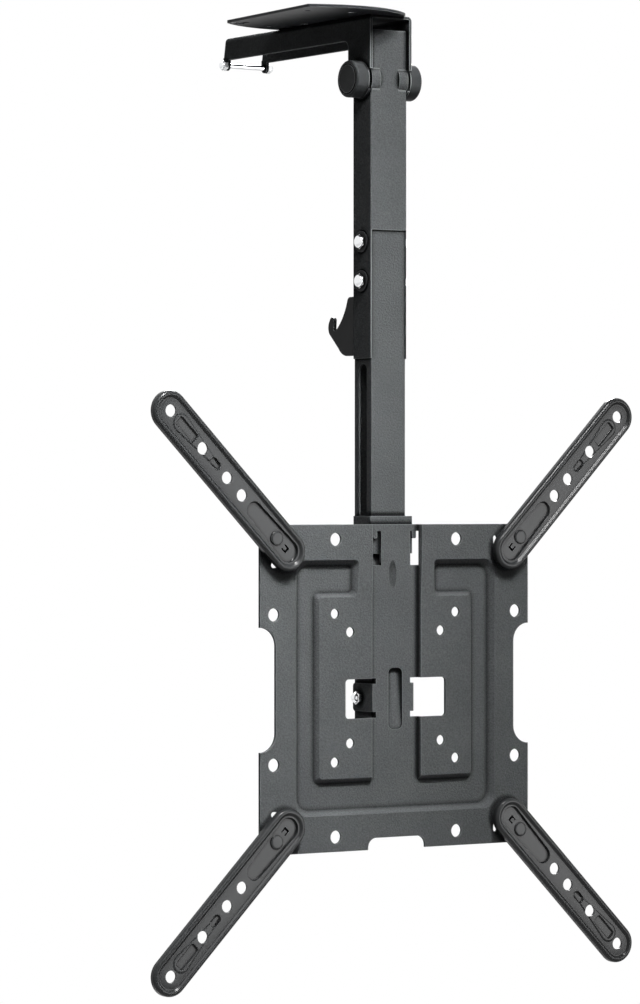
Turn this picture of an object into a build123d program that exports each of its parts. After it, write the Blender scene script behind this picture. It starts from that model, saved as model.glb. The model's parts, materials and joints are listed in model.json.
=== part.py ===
"""Fold-up ceiling mount for a flat screen.

Millimetres. X runs across the mount, Y from the screen side to the back, Z up.
The origin lies on the ceiling face of the top plate, straight above the fold hinge.
Below it hang a folded steel arm, a hinged tube in two lengths that slide in each
other, and a pressed screen plate with four swinging arms.
"""
from build123d import *

import math
import os

os.makedirs("parts", exist_ok=True)

# Main heights and patterns
ceiling_to_screen = 457.8
small_pattern = 75.0
square_pattern = 100.0
wide_pattern = 200.0

# Ceiling plate
plate_thickness = 2.0
plate_front_left = (-75.0, -24.0)
plate_front_bow = (-34.0, -35.0)
plate_front_right = (10.0, -16.0)
plate_right_front = 0.0
plate_right_back = 92.0
plate_back_bow = (-25.0, 103.0)
plate_back_left = (-68.0, 87.0)
plate_corner_radius = 2.0
ceiling_screw_radius = 2.75
ceiling_screw_row_x = -32.0
ceiling_screw_front_y = -13.0
ceiling_screw_spacing = 101.0
side_hole_radius = 2.5
side_hole_place = (-63.0, -5.0)
keyhole_place = (-59.0, 80.0)
keyhole_length = 13.0
keyhole_slot_radius = 2.0
keyhole_head_radius = 3.4
spare_hole_place = (-20.5, 61.5)

# Folded ceiling arm, an upside-down U in section
arm_sheet = 1.9
arm_width = 34.4
arm_height = 15.9
arm_length = 166.9
arm_end_slope = 3.0
arm_bend_radius = 3.0
leg_depth = 26.4
leg_inner_corner = 5.0

# Fold hinge
hinge_drop = 43.4
hub_radius = 12.6
hub_thickness = 9.6
hub_floor = 2.4
hub_rim_radius = 1.4
hub_groove_radius = 9.6
hub_groove_width = 0.8
hub_groove_depth = 1.0
hub_face_rise = 0.4
drum_inner_x = 7.6
drum_notch_half = 6.9
drum_notch_depth = 3.0
pin_radius = 5.0
running_clearance = 0.05
side_clearance = 0.3

# Cross rod at the far end of the ceiling arm
rod_radius = 1.9
rod_inset = 3.0
rod_drop = 3.7
rod_ear_radius = 3.5
rod_nut_flats = 6.6
rod_nut_height = 3.0
rod_dome_radius = 2.9
rod_dome_height = 2.4

# Upper tube
tube_width = 29.8
tube_depth = 21.8
tube_wall = 0.8
tube_corner = 1.2
tube_top_gap = 7.8
tube_front_length = 136.1
tube_cutaway_length = 87.3
sliding_clearance = 0.05

# Lower tube and its slots
lower_wall = 1.5
lower_overlap = 37.0
lower_below_bolt = 15.0
guide_slot_width = 7.2
bolt_to_slot_end = 0.4
slide_travel = 45.0
slot_bridge = 8.0
long_slot_width = 9.2
long_slot_length = 198.0

# Clamp bolts through both tubes
clamp_bolt_radius = 3.0
clamp_bolt_spacing = 26.7
clamp_first_below_cut = 7.8
clamp_nut_flats = 8.8
clamp_nut_height = 2.2
clamp_dome_radius = 4.2
clamp_dome_height = 3.2
clamp_washer_radius = 7.2
clamp_washer_thickness = 1.0
clamp_head_height = 4.0

# Catch hook on the back of the upper tube
hook_thickness = 2.5
hook_side_x = 14.3
hook_height_above_cut = 2.3
hook_foot_reach = 9.0
hook_heel = ((13.9, 1.6), (18.0, 5.2))
hook_belly_end = (29.2, 15.6)
hook_outside = ((30.6, 20.6), (28.8, 25.0))
hook_tip = ((26.2, 27.0), (23.8, 25.2))
hook_inside_end = (24.2, 19.6)
hook_throat = ((22.8, 17.7), (20.4, 18.6))
hook_sweep = ((12.4, 27.6), (7.6, 37.6))
hook_crown = ((6.2, 39.6), (4.0, 40.2))

# Screen plate, one pressing
sheet = 2.0
screen_plate_gap = 9.3
screen_side_margin = 11.0
screen_end_margin = 10.0
screen_corner_radius = 9.0
side_notch_height = 83.0
side_notch_depth = 12.5
side_notch_radius = 12.3
bottom_notch_width = 47.4
bottom_notch_depth = 8.0
bottom_notch_radius = 6.5
relief_depth = 4.5
relief_draft = 40.0
relief_half_width = 82.5
relief_top = 86.0
relief_bottom = -85.5
relief_corner_radius = 9.0
panel_half_width = 61.8
panel_half_height = 60.3
panel_corner_radius = 3.0
panel_sink = 1.05
neck_half_width = 31.0
strip_centre_x = 0.7
strip_half_width = 20.4
strip_draft = 12.0
strip_foot = -66.0
small_hole_radius = 3.4
wide_hole_radius = 4.45

# Windows and ears in the screen plate
window_outer = 41.5
window_top = 5.6
window_bottom = -21.0
window_radius = 2.5
ear_outer_x = 17.0
ear_back = 27.9
ear_top = 2.0
ear_bottom = -17.2
ear_radius = 2.5
relief_notch_inner = 14.2
ear_bolt_drop = 8.0
ear_bolt_radius = 2.5
ear_bend_radius = 1.6
ear_nut_flats = 8.0
ear_nut_height = 3.4
ear_dome_radius = 3.4
ear_dome_height = 2.8
ear_head_height = 3.2

# Hook-over slots, dimple and groove in the centre strip
tab_slot_centre_x = 2.2
tab_slot_inner = 12.1
tab_slot_outer = 20.1
tab_slot_bottom = 82.2
tab_slot_top = 105.4
tongue_width = 3.4
tongue_shift = -0.9
tongue_bottom = 100.4
tongue_corner = 1.2
dimple_place = (-0.4, 76.0)
dimple_half_width = 4.0
dimple_half_height = 14.0
dimple_depth = 1.9
dimple_back_wall = 1.3
groove_centre_x = 1.8
groove_width = 11.4
groove_top = 12.4
groove_bottom = -29.0
groove_depth = 2.6
groove_foot_depth = 0.4
groove_back_wall = 1.4

# Saddle round the lower tube behind the top of the screen plate
saddle_width = 34.4
saddle_depth = 20.4
saddle_height = 25.5
saddle_rise = 5.6

# Swinging arms, pressed from one sheet; section sizes run from the middle line outwards
swing_pivot_outside = 1.0
swing_clearance = 2.6
pad_clearance = 0.3
swing_reach = 118.5
swing_tail = 12.5
swing_sheet = 1.6
swing_floor_half = 8.0
swing_floor_back = 1.9
swing_crest_inner = 9.1
swing_crest_outer = 9.9
swing_crest_height = 4.9
swing_half_width = 13.3
swing_lip_height = 3.9
swing_round = 0.6
swing_hole_radius = 4.1
swing_holes = (118.5, 83.9, 56.7, 40.3)
box_boss_place = 101.2
box_boss_size = (18.9, 7.0)
oval_boss_place = 69.9
oval_boss_size = (9.3, 6.0)
boss_sink = 1.3
boss_inset = 0.5
shield_rise = 0.3
shield_start = 66.0
shield_end = 111.3
shield_start_half = 1.6
shield_end_half = 5.8
pad_start = -13.0
pad_start_radius = 7.4
pad_end = 31.5
pad_end_radius = 5.4
pad_inset = 0.9
pressed_wall = 1.2
tab_place = -9.8
tab_hole = (4.6, 4.4)
tab_blade = (3.0, 2.4)
stop_radius = 18.0
stop_slot_width = 3.8
stop_slot_turn = 43.0
stop_peg_radius = 1.4

# Rivets of the swinging arms
rivet_shank_radius = 3.0
rivet_head_radius = 4.9
rivet_head_height = 1.5
rivet_shoulder_radius = 6.0
rivet_tail_radius = 5.0
rivet_tail_height = 1.3

# Heights and depths worked out from the sizes above
plate_underside = -plate_thickness
arm_underside = plate_underside - arm_height
hinge_z = plate_underside - hinge_drop
tube_top = plate_underside - arm_sheet - tube_top_gap
front_cut_z = tube_top - tube_front_length
tube_bottom = front_cut_z - tube_cutaway_length
clamp_high_z = front_cut_z - clamp_first_below_cut
clamp_low_z = clamp_high_z - clamp_bolt_spacing
lower_top = front_cut_z + lower_overlap
lower_corner = tube_corner - tube_wall
lower_width = tube_width - 2 * tube_wall - 2 * sliding_clearance
lower_depth = tube_depth - 2 * tube_wall - 2 * sliding_clearance
slot_top = clamp_high_z + clamp_bolt_radius + bolt_to_slot_end
slot_bottom = clamp_low_z - clamp_bolt_radius - bolt_to_slot_end - slide_travel
long_slot_top = slot_bottom - slot_bridge
long_slot_bottom = long_slot_top - long_slot_length
screen_z = -ceiling_to_screen
screen_plate_width = wide_pattern + 2 * screen_side_margin
screen_plate_height = wide_pattern + 2 * screen_end_margin
screen_top_z = screen_z + screen_plate_height / 2
screen_y = -tube_depth / 2 - screen_plate_gap
strip_y = screen_y + relief_depth
strip_back_y = strip_y + sheet
ear_bolt_z = screen_z - ear_bolt_drop
lower_bottom = ear_bolt_z - lower_below_bolt
swing_pivot = wide_pattern / 2 + swing_pivot_outside
swing_floor_height = swing_floor_back + swing_sheet
pad_back = pad_clearance - swing_clearance
pad_sink = swing_floor_back - pad_back
swing_back_y = screen_y - swing_clearance
rod_y = arm_length + arm_end_slope - rod_inset
rod_z = arm_underside - rod_drop


def facing_front(depth_y):
    """Plane seen from the screen side at a given depth, with X right and Z up."""
    return Plane.XZ.offset(-depth_y)


def slab(sketch, front_y, thickness, centre_z=0.0):
    """Sheet of a front-view sketch, from its front face backwards."""
    plane = facing_front(front_y)
    return extrude(plane * (Pos(0, centre_z) * sketch), amount=-thickness)


def rod_along_x(radius, x_from, x_to, y, z):
    """Round bar along X between two places."""
    bar = Cylinder(radius, x_to - x_from, align=(Align.CENTER, Align.CENTER, Align.MIN))
    return Pos(x_from, y, z) * Rot(0, 90, 0) * bar


def hex_along_x(across_flats, x_from, x_to, y, z):
    """Hexagon bar along X between two places."""
    outline = RegularPolygon(across_flats / 2, 6, major_radius=False)
    bar = extrude(outline, amount=x_to - x_from)
    return Pos(x_from, y, z) * Rot(0, 90, 0) * bar


def dome_cap(radius, height, seat_x, direction, y, z):
    """Domed end of a cap nut, standing on seat_x and bulging along X."""
    rise = min(height, radius) * 0.9
    barrel = height - rise
    ball_radius = (radius**2 + rise**2) / (2 * rise)
    ball_centre = height - ball_radius
    half_angle = math.atan2(radius, barrel - ball_centre) / 2
    middle = (ball_radius * math.sin(half_angle), ball_centre + ball_radius * math.cos(half_angle))
    outline = Polyline((0, height), (0, 0), (radius, 0), (radius, barrel))
    crown = ThreePointArc((radius, barrel), middle, (0, height))
    profile = make_face(outline + crown)
    cap = revolve(Plane.XZ * profile, Axis.Z)
    return Pos(seat_x, y, z) * Rot(0, 90 * direction, 0) * cap


def cap_nut(flats, height, dome_radius, dome_height, seat_x, direction, y, z):
    """Cap nut whose flat side lies on seat_x and whose dome points along X."""
    low = min(seat_x, seat_x + direction * height)
    nut = hex_along_x(flats, low, low + height, y, z)
    nut += dome_cap(dome_radius, dome_height, seat_x + direction * height, direction, y, z)
    return nut


def save(name, shape):
    """Write one piece to its own file."""
    export_step(shape, f"parts/{name}.step")


def make_ceiling_plate():
    """Flat plate that is screwed to the ceiling, with bowed front and back edges."""
    right_x = arm_width / 2
    front = ThreePointArc(plate_front_left, plate_front_bow, plate_front_right)
    corner = Line(plate_front_right, (right_x, plate_right_front))
    right = Line((right_x, plate_right_front), (right_x, plate_right_back))
    back = ThreePointArc((right_x, plate_right_back), plate_back_bow, plate_back_left)
    left = Line(plate_back_left, plate_front_left)
    outline = make_face(front + corner + right + back + left)
    outline = fillet(outline.vertices(), plate_corner_radius)
    for step in range(2):
        row_y = ceiling_screw_front_y + step * ceiling_screw_spacing
        outline -= Pos(ceiling_screw_row_x, row_y) * Circle(ceiling_screw_radius)
    for place in (side_hole_place, spare_hole_place):
        outline -= Pos(*place) * Circle(side_hole_radius)
    slot = SlotOverall(keyhole_length, 2 * keyhole_slot_radius, rotation=90)
    head_shift = keyhole_length / 2 - keyhole_slot_radius
    outline -= Pos(*keyhole_place) * slot
    outline -= Pos(keyhole_place[0], keyhole_place[1] + head_shift) * Circle(keyhole_head_radius)
    return Pos(0, 0, plate_underside) * extrude(outline, amount=plate_thickness)


def make_ceiling_arm():
    """Folded arm with two legs that reach down round the hinge."""
    front_y = -leg_depth / 2
    back_y = leg_depth / 2
    end_low_y = arm_length + arm_end_slope
    side = Polyline(
        (front_y, plate_underside),
        (arm_length, plate_underside),
        (end_low_y, arm_underside),
        (back_y, arm_underside),
        (back_y, hinge_z),
        (front_y, hinge_z),
        close=True,
    )
    outline = make_face(side)
    inner = outline.vertices().filter_by_position(Axis.Y, arm_underside, arm_underside)
    outline = fillet(inner.sort_by(Axis.X)[0], leg_inner_corner)
    outline += Pos(0, hinge_z) * Circle(leg_depth / 2)
    outline += Pos(rod_y, rod_z) * Circle(rod_ear_radius)
    bridge = Rectangle(2 * rod_ear_radius, rod_drop + arm_sheet, align=(Align.CENTER, Align.MIN))
    outline += Pos(rod_y, rod_z) * bridge
    plane = Plane.YZ.offset(-arm_width / 2)
    body = extrude(plane * outline, amount=arm_width)
    top_edges = body.edges().filter_by(Axis.Y).group_by(Axis.Z)[-1]
    body = fillet(top_edges, arm_bend_radius)
    inner_width = arm_width - 2 * arm_sheet
    space = Rectangle(inner_width, hinge_drop + leg_depth, align=(Align.CENTER, Align.MAX))
    space = fillet(space.vertices().group_by(Axis.Y)[-1], arm_bend_radius - arm_sheet)
    space_start = (0, front_y - arm_sheet, plate_underside - arm_sheet)
    space_plane = Plane(origin=space_start, x_dir=(1, 0, 0), z_dir=(0, -1, 0))
    body -= extrude(space_plane * space, amount=-(end_low_y + leg_depth))
    notch = Box(2 * arm_width, drum_notch_depth, 2 * drum_notch_half)
    body -= Pos(0, front_y + drum_notch_depth / 2, hinge_z) * notch
    body -= rod_along_x(rod_radius, -arm_width, arm_width, rod_y, rod_z)
    body -= rod_along_x(pin_radius, -arm_width, arm_width, 0, hinge_z)
    return body


def make_hub_cap(side):
    """Round cap outside the arm's leg, with a rolled rim and a raised face."""
    seat = arm_width / 2
    rim_r = hub_rim_radius
    face = hub_thickness
    low = face - hub_groove_depth
    groove_out = hub_groove_radius + hub_groove_width
    bore = pin_radius + running_clearance
    bore_depth = hub_thickness - hub_floor
    points = [
        (0, bore_depth),
        (bore, bore_depth),
        (bore, 0),
        (hub_radius, 0),
        (hub_radius, face - rim_r),
    ]
    start = Polyline(*points)
    rim_mid = hub_radius - rim_r * (1 - math.sqrt(0.5))
    rim = ThreePointArc(
        (hub_radius, face - rim_r),
        (rim_mid, face - rim_r * (1 - math.sqrt(0.5))),
        (hub_radius - rim_r, face),
    )
    rest = Polyline(
        (hub_radius - rim_r, face),
        (groove_out, face),
        (groove_out, low),
        (hub_groove_radius, low),
        (hub_groove_radius, face + hub_face_rise),
        (0, face + hub_face_rise),
        (0, bore_depth),
    )
    profile = make_face(start + rim + rest)
    cap = revolve(Plane.XZ * profile, Axis.Z)
    return Pos(side * seat, 0, hinge_z) * Rot(0, 90 * side, 0) * cap


def make_hinge_pin():
    """Pin through both hubs, both drums and both legs."""
    reach = arm_width / 2 + hub_thickness - hub_floor
    return rod_along_x(pin_radius, -reach, reach, 0, hinge_z)


def make_hinge_drums():
    """Drums welded into the top of the upper tube, turning on the pin."""
    drums = []
    outer_x = arm_width / 2 - arm_sheet - side_clearance
    for side in (-1, 1):
        low = min(side * drum_inner_x, side * outer_x)
        high = max(side * drum_inner_x, side * outer_x)
        drum = rod_along_x(hub_radius, low, high, 0, hinge_z)
        drum -= rod_along_x(pin_radius + running_clearance, low, high, 0, hinge_z)
        drums.append(drum)
    return Compound(children=drums)


def make_upper_tube():
    """Rectangular tube whose front wall stops short, so the sides run on below."""
    length = tube_top - tube_bottom
    outline = RectangleRounded(tube_width, tube_depth, tube_corner)
    outline -= RectangleRounded(
        tube_width - 2 * tube_wall, tube_depth - 2 * tube_wall, lower_corner
    )
    tube = Pos(0, 0, tube_bottom) * extrude(outline, amount=length)
    open_width = tube_width - 2 * tube_wall
    front_y = -tube_depth / 2
    standing = (Align.CENTER, Align.CENTER, Align.MIN)
    cut = Box(open_width, 2 * tube_wall, tube_cutaway_length, align=standing)
    tube -= Pos(0, front_y, tube_bottom) * cut
    for side in (-1, 1):
        low = min(side * drum_inner_x, side * tube_width)
        high = max(side * drum_inner_x, side * tube_width)
        tube -= rod_along_x(hub_radius, low, high, 0, hinge_z)
    for bolt_z in (clamp_high_z, clamp_low_z):
        tube -= rod_along_x(clamp_bolt_radius, -tube_width, tube_width, 0, bolt_z)
    return tube


def side_slot(top_z, bottom_z, width):
    """Slot cutter through both side walls of the lower tube."""
    outline = SlotOverall(top_z - bottom_z, width, rotation=90)
    plane = Plane.YZ.offset(-tube_width)
    cutter = extrude(plane * (Pos(0, (top_z + bottom_z) / 2) * outline), amount=2 * tube_width)
    return cutter


def make_lower_tube():
    """Tube that slides in the upper one, with two long slots in each side."""
    outline = RectangleRounded(lower_width, lower_depth, lower_corner)
    outline -= Rectangle(lower_width - 2 * lower_wall, lower_depth - 2 * lower_wall)
    tube = Pos(0, 0, lower_bottom) * extrude(outline, amount=lower_top - lower_bottom)
    tube -= side_slot(slot_top, slot_bottom, guide_slot_width)
    tube -= side_slot(long_slot_top, long_slot_bottom, long_slot_width)
    tube -= rod_along_x(ear_bolt_radius, -tube_width, tube_width, 0, ear_bolt_z)
    return tube


def make_catch_hook():
    """Sheet hook that stands on the back wall of the upper tube."""
    foot_z = tube_bottom + hook_height_above_cut
    back = tube_depth / 2

    def at(place):
        out, up = place
        return (back + out, foot_z + up)

    def arc(start, bend):
        return ThreePointArc(at(start), at(bend[0]), at(bend[1]))

    heel_start = (hook_foot_reach, 0)
    top_end = (0, hook_crown[1][1])
    edges = Line(at((0, 0)), at(heel_start))
    edges += arc(heel_start, hook_heel)
    edges += Line(at(hook_heel[1]), at(hook_belly_end))
    edges += arc(hook_belly_end, hook_outside)
    edges += arc(hook_outside[1], hook_tip)
    edges += Line(at(hook_tip[1]), at(hook_inside_end))
    edges += arc(hook_inside_end, hook_throat)
    edges += arc(hook_throat[1], hook_sweep)
    edges += arc(hook_sweep[1], hook_crown)
    edges += Line(at(hook_crown[1]), at(top_end))
    edges += Line(at(top_end), at((0, 0)))
    plane = Plane.YZ.offset(-hook_side_x)
    return extrude(plane * make_face(edges), amount=hook_thickness)


def make_cross_rod():
    """Rod between the two walls at the far end of the ceiling arm."""
    reach = arm_width / 2 + rod_nut_height
    return rod_along_x(rod_radius, -reach, reach, rod_y, rod_z)


def make_rod_nuts():
    """Cap nuts on both ends of the cross rod."""
    nuts = []
    for side in (-1, 1):
        nut = cap_nut(
            rod_nut_flats, rod_nut_height, rod_dome_radius, rod_dome_height,
            side * arm_width / 2, side, rod_y, rod_z,
        )
        nut -= rod_along_x(rod_radius, -arm_width / 2 - rod_nut_height,
                           arm_width / 2 + rod_nut_height, rod_y, rod_z)
        nuts.append(nut)
    return Compound(children=nuts)


def make_clamp_bolts():
    """Hexagon bolts from the right side through both tubes."""
    bolts = []
    seat = tube_width / 2 + clamp_washer_thickness
    for bolt_z in (clamp_high_z, clamp_low_z):
        shank = rod_along_x(clamp_bolt_radius, -seat - clamp_nut_height, seat, 0, bolt_z)
        head = hex_along_x(clamp_nut_flats, seat, seat + clamp_head_height, 0, bolt_z)
        bolts.append(shank + head)
    return Compound(children=bolts)


def make_clamp_nuts():
    """Cap nuts of the clamp bolts, on the left side."""
    nuts = []
    seat = tube_width / 2 + clamp_washer_thickness
    for bolt_z in (clamp_high_z, clamp_low_z):
        nut = cap_nut(
            clamp_nut_flats, clamp_nut_height, clamp_dome_radius, clamp_dome_height,
            -seat, -1, 0, bolt_z,
        )
        nut -= rod_along_x(clamp_bolt_radius, -seat - clamp_nut_height, -seat, 0, bolt_z)
        nuts.append(nut)
    return Compound(children=nuts)


def make_clamp_washers():
    """Flat washers under the clamp nuts and bolt heads."""
    rings = []
    inner = tube_width / 2
    outer = inner + clamp_washer_thickness
    for bolt_z in (clamp_high_z, clamp_low_z):
        for side in (-1, 1):
            low = min(side * inner, side * outer)
            high = max(side * inner, side * outer)
            ring = rod_along_x(clamp_washer_radius, low, high, 0, bolt_z)
            ring -= rod_along_x(clamp_bolt_radius, low, high, 0, bolt_z)
            rings.append(ring)
    return Compound(children=rings)


def relief_outline(grow):
    """Outline of the sunk frame in the screen plate, grown outwards by grow."""
    height = relief_top - relief_bottom + 2 * grow
    width = 2 * (relief_half_width + grow)
    middle = (relief_top + relief_bottom) / 2
    outline = Pos(0, middle) * RectangleRounded(width, height, relief_corner_radius)
    core = Rectangle(2 * (panel_half_width - grow), 2 * (panel_half_height - grow))
    neck = Rectangle(2 * (neck_half_width - grow), 2 * relief_top, align=(Align.CENTER, Align.MIN))
    outline -= core + neck
    near = outline.vertices().filter_by(lambda v: abs(v.X) < relief_half_width - relief_corner_radius)
    return fillet(near, panel_corner_radius)


def strip_outline(grow):
    """Outline of the centre strip, open at the top edge of the plate."""
    height = screen_plate_height - strip_foot
    strip = Rectangle(2 * (strip_half_width + grow), height, align=(Align.CENTER, Align.MIN))
    return Pos(strip_centre_x, strip_foot) * strip


def tapered_block(outline, front_y, depth, grow, draft):
    """Block between two sizes of one outline, narrowing backwards at the draft angle."""
    run = depth * math.tan(math.radians(draft))
    wide = facing_front(front_y) * (Pos(0, screen_z) * outline(grow))
    narrow = facing_front(front_y + depth) * (Pos(0, screen_z) * outline(grow - run))
    return loft([wide.face(), narrow.face()], ruled=True)


def sunk_block(front_y, depth, grow_frame, grow_strip):
    """Tapered block of the sunk frame and the centre strip, from front_y backwards."""
    frame = tapered_block(relief_outline, front_y, depth, grow_frame, relief_draft)
    strip = tapered_block(strip_outline, front_y, depth, grow_strip, strip_draft)
    return frame + strip


def wall_grow(draft):
    """Sideways step between the front and back surfaces of a sloping pressed wall."""
    angle = math.radians(draft)
    return sheet / math.cos(angle) - sheet * math.tan(angle)


def screen_plate_outline():
    """Outer edge of the screen plate with its side and bottom notches."""
    half_w = screen_plate_width / 2
    half_h = screen_plate_height / 2
    outline = RectangleRounded(screen_plate_width, screen_plate_height, screen_corner_radius)
    for side in (-1, 1):
        notch = RectangleRounded(2 * side_notch_depth, side_notch_height, side_notch_radius)
        outline -= Pos(side * half_w, 0) * notch
    notch = RectangleRounded(bottom_notch_width, 2 * bottom_notch_depth, bottom_notch_radius)
    outline -= Pos(0, -half_h) * notch
    return outline


def screen_plate_holes():
    """Round holes of every screen pattern, the rivet holes and the arm stop slots."""
    holes = []
    for side in (-1, 1):
        for up in (-1, 1):
            for pattern in (small_pattern, square_pattern):
                place = Pos(side * pattern / 2, up * pattern / 2)
                holes.append(place * Circle(small_hole_radius))
            far = wide_pattern / 2
            near = square_pattern / 2
            holes.append(Pos(side * far, up * near) * Circle(wide_hole_radius))
            holes.append(Pos(side * near, up * far) * Circle(wide_hole_radius))
            holes.append(Pos(side * swing_pivot, up * swing_pivot) * Circle(rivet_shank_radius))
            holes.append(stop_slot(side, up))
    return holes


def stop_slot(side, up):
    """Quarter-circle slot round a rivet, for the stop peg of a swinging arm."""
    middle = math.degrees(math.atan2(-up, -side))
    start = middle - stop_slot_turn
    arc = CenterArc((side * swing_pivot, up * swing_pivot), stop_radius, start, 2 * stop_slot_turn)
    return SlotArc(arc, stop_slot_width)


def side_view_block(points, width, centre_x):
    """Block with a side-view outline of (y, z) points, z counted from the plate's centre."""
    outline = Polyline(*[(y, screen_z + z) for y, z in points], close=True)
    plane = Plane.YZ.offset(centre_x - width / 2)
    return extrude(plane * make_face(outline), amount=width)


def panel_step(front_y):
    """Wedge by which the inner panel lies deeper than the rim, running out up the necks."""
    back_y = front_y + panel_sink
    reach = (panel_half_height + relief_top) / 2
    points = [(front_y, relief_top), (back_y, panel_half_height), (back_y, -reach), (front_y, -reach)]
    return side_view_block(points, panel_half_width + relief_half_width, 0)


def groove_block(front_y, wall):
    """Wedge of the stiffening groove, deepest at its top, grown by a wall all round."""
    foot = groove_bottom - wall
    points = [
        (front_y, groove_top + wall),
        (front_y + groove_depth, groove_top + wall),
        (front_y + groove_foot_depth, foot),
        (front_y, foot),
    ]
    block = side_view_block(points, groove_width + 2 * wall, groove_centre_x)
    corners = block.edges().filter_by(Axis.Y)
    return fillet(corners, groove_width / 3)


def dimple_lens(front_y, grow):
    """Upright lens of the dimple, with its middle line in front of a plane."""
    half_height = dimple_half_height + grow
    depth = dimple_depth + grow
    swell = dimple_half_width + grow
    arc = ThreePointArc((0, -half_height), (swell, 0), (0, half_height))
    lens = revolve(Plane.XZ * make_face(arc + Line((0, -half_height), (0, half_height))), Axis.Z)
    dimple_x, dimple_z = dimple_place
    return Pos(dimple_x, front_y + depth - swell, screen_z + dimple_z) * lens


def window_cutter(side):
    """Window of one side with the two relief notches beside its ear."""
    height = window_top - window_bottom
    width = window_outer - ear_outer_x
    middle_z = (window_top + window_bottom) / 2
    window = Pos((window_outer + ear_outer_x) / 2, middle_z) * Rectangle(width, height)
    window = fillet(window.vertices().group_by(Axis.X)[-1], window_radius)
    for low, high in ((ear_top, window_top), (window_bottom, ear_bottom)):
        notch = Rectangle(ear_outer_x - relief_notch_inner, high - low)
        window += Pos((ear_outer_x + relief_notch_inner) / 2, (low + high) / 2) * notch
    if side < 0:
        window = mirror(window, Plane.YZ)
    return slab(window, screen_y, relief_depth + 2 * sheet, screen_z)


def tab_slot_cutter(side):
    """Hook-over slot beside the centre line, with a tongue left standing at its top."""
    height = tab_slot_top - tab_slot_bottom
    opening = Rectangle(tab_slot_outer - tab_slot_inner, height)
    opening = Pos(0, (tab_slot_top + tab_slot_bottom) / 2) * opening
    tongue = Rectangle(tongue_width, height, align=(Align.CENTER, Align.MIN))
    tongue = fillet(tongue.vertices().group_by(Axis.Y)[0], tongue_corner)
    opening -= Pos(tongue_shift, tongue_bottom) * tongue
    centre_x = tab_slot_centre_x + side * (tab_slot_outer + tab_slot_inner) / 2
    return slab(Pos(centre_x, 0) * opening, strip_y - sheet / 2, 2 * sheet, screen_z)


def make_screen_plate():
    """Pressed screen plate with sunk frame, centre strip, windows and bent ears."""
    plate = slab(screen_plate_outline(), screen_y, sheet, screen_z)
    plate += side_view_block(
        [
            (screen_y + sheet, relief_top),
            (screen_y + sheet + panel_sink, panel_half_height),
            (screen_y + sheet + panel_sink, -panel_half_height),
            (screen_y + sheet, -panel_half_height),
        ],
        2 * panel_half_width,
        0,
    )
    back = sunk_block(screen_y + sheet, relief_depth, wall_grow(relief_draft), wall_grow(strip_draft))
    limit = slab(screen_plate_outline(), screen_y, relief_depth + sheet, screen_z)
    plate += back & limit
    plate += groove_block(strip_back_y, groove_back_wall)
    behind = Rectangle(4 * dimple_half_width, 4 * dimple_half_height)
    behind = slab(Pos(*dimple_place) * behind, strip_y + sheet / 2, relief_depth + sheet, screen_z)
    plate += dimple_lens(strip_y, dimple_back_wall) & behind
    plate -= sunk_block(screen_y, relief_depth, 0, 0)
    plate -= panel_step(screen_y)
    plate -= groove_block(strip_y, 0)
    plate -= dimple_lens(strip_y, 0)

    for hole in screen_plate_holes():
        plate -= slab(hole, screen_y, relief_depth + 2 * sheet, screen_z)
    for side in (-1, 1):
        plate -= window_cutter(side)
        plate -= tab_slot_cutter(side)
        plate += make_ear(side)
    return plate


def make_ear(side):
    """Ear bent back from a window's inner edge, with a hole for the cross bolt."""
    height = ear_top - ear_bottom
    middle_z = screen_z + (ear_top + ear_bottom) / 2
    back_y = screen_y + ear_back
    outline = Rectangle(back_y - strip_y, height)
    outline = Pos((back_y + strip_y) / 2, middle_z) * outline
    outline = fillet(outline.vertices().group_by(Axis.X)[-1], ear_radius)
    outline -= Pos(0, ear_bolt_z) * Circle(ear_bolt_radius)
    low = min(side * ear_outer_x, side * (ear_outer_x - sheet))
    ear = extrude(Plane.YZ.offset(low) * outline, amount=sheet)
    front_edge = ear.edges().filter_by(Axis.Z).group_by(Axis.Y)[0]
    outer_edge = front_edge.sort_by(lambda e: side * e.center().X)[-1]
    return fillet(outer_edge, ear_bend_radius)


def make_saddle():
    """Block round the lower tube that carries the top of the screen plate."""
    top_z = screen_top_z + saddle_rise
    outline = Rectangle(saddle_width, saddle_depth, align=(Align.CENTER, Align.MIN))
    outline = Pos(0, strip_back_y) * outline
    space_width = lower_width + 2 * sliding_clearance
    space = Rectangle(space_width, saddle_depth + lower_depth, align=(Align.CENTER, Align.MIN))
    outline -= Pos(0, -lower_depth / 2 - sliding_clearance) * space
    block = extrude(outline, amount=saddle_height)
    return Pos(0, 0, top_z - saddle_height) * block


def make_ear_bolt():
    """Cross bolt through the ears and the foot of the lower tube."""
    seat = ear_outer_x
    shank = rod_along_x(ear_bolt_radius, -seat - ear_nut_height, seat, 0, ear_bolt_z)
    head = hex_along_x(ear_nut_flats, seat, seat + ear_head_height, 0, ear_bolt_z)
    return shank + head


def make_ear_nut():
    """Cap nut of the cross bolt."""
    nut = cap_nut(
        ear_nut_flats, ear_nut_height, ear_dome_radius, ear_dome_height,
        -ear_outer_x, -1, 0, ear_bolt_z,
    )
    nut -= rod_along_x(ear_bolt_radius, -ear_outer_x - ear_nut_height, -ear_outer_x, 0, ear_bolt_z)
    return nut


def make_ear_spacers():
    """Spacer rings between the ears and the lower tube."""
    rings = []
    inner = lower_width / 2
    outer = ear_outer_x - sheet
    for side in (-1, 1):
        low = min(side * inner, side * outer)
        high = max(side * inner, side * outer)
        ring = rod_along_x(2 * ear_bolt_radius, low, high, 0, ear_bolt_z)
        ring -= rod_along_x(ear_bolt_radius, low, high, 0, ear_bolt_z)
        rings.append(ring)
    return Compound(children=rings)


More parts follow.
